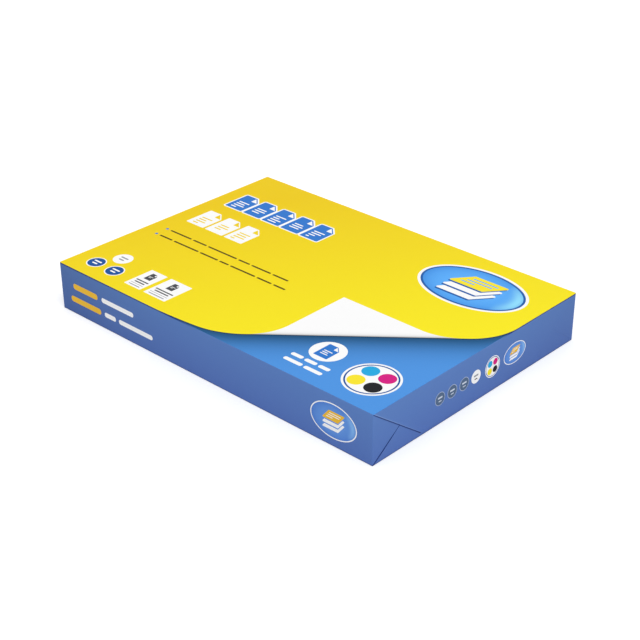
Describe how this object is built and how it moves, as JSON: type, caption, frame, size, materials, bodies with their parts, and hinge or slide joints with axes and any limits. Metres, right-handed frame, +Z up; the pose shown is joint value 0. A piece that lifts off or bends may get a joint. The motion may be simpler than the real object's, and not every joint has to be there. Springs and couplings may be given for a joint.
{
  "type": "wrapped ream of paper",
  "caption": "Sealed ream of large-format copier paper in a printed paper wrapper with folded and glued ends, lying flat.",
  "frame": {"origin": "middle of the underside, on the surface that the ream lies on", "axes": "+Z up; +X along the long side, towards the end with the folded flaps that the picture shows; -Y is the long side that faces the camera"},
  "size_m": [0.4212, 0.2972, 0.0522],
  "materials": {
    "wrapper": "satin"
  },
  "bodies": {
    "root": {"wrapped_ream": "wrapper"}
  },
  "joints": []
}
